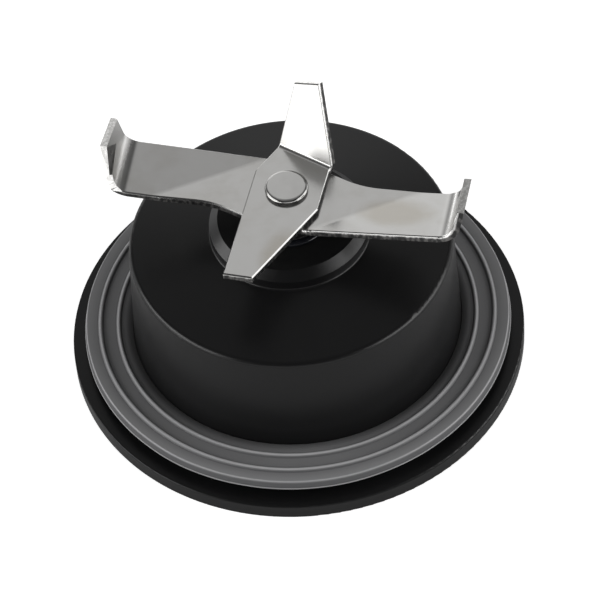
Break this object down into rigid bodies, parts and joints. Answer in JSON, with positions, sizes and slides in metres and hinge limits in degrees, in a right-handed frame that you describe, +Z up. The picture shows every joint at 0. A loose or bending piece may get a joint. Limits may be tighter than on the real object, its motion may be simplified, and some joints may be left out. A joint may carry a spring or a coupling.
{
  "type": "blender blade assembly",
  "caption": "Round flanged cup base with a ribbed sealing gasket that carries stacked, bent cutting blades on a spinning shaft, driven from a lobed coupling in the hollow underside.",
  "frame": {"origin": "centre of the flange's underside, where the assembly stands", "axes": "+Z up the shaft towards the blades; the upturned wing of the upper blade points to +Y at rest"},
  "size_m": [0.08, 0.08, 0.0528],
  "materials": {
    "black_moulding": "satin black moulding",
    "grey_silicone": "matte silicone",
    "sleeve_steel": "turned",
    "bush_bronze": "sintered",
    "felt": "oiled felt",
    "washer_nylon": "moulded",
    "seal_rubber": "matte rubber",
    "cap_plastic": "glossy black",
    "shaft_steel": "turned stainless steel",
    "blade_steel": "bright stamped stainless steel",
    "spring_steel": "blackened",
    "coupling_plastic": "moulded",
    "insert_brass": "turned"
  },
  "bodies": {
    "base": {"base_cup": "black_moulding", "sealing_gasket": "grey_silicone", "bearing_sleeve": "sleeve_steel", "upper_bush": "bush_bronze", "lower_bush": "bush_bronze", "oil_felt": "felt", "upper_thrust_washer": "washer_nylon", "shaft_seal": "seal_rubber", "seal_cap": "cap_plastic"},
    "rotor": {"drive_shaft": "shaft_steel", "blade_spacer": "shaft_steel", "lower_blade": "blade_steel", "upper_blade": "blade_steel", "lower_thrust_washer": "washer_nylon", "retaining_ring": "spring_steel", "drive_coupling": "coupling_plastic", "coupling_insert": "insert_brass"}
  },
  "joints": [
    {"name": "blade_spin", "type": "hinge", "parent": "base", "child": "rotor", "pos_m": [0, 0, 0.02], "axis": [0, 0, 1], "continuous": true}
  ]
}
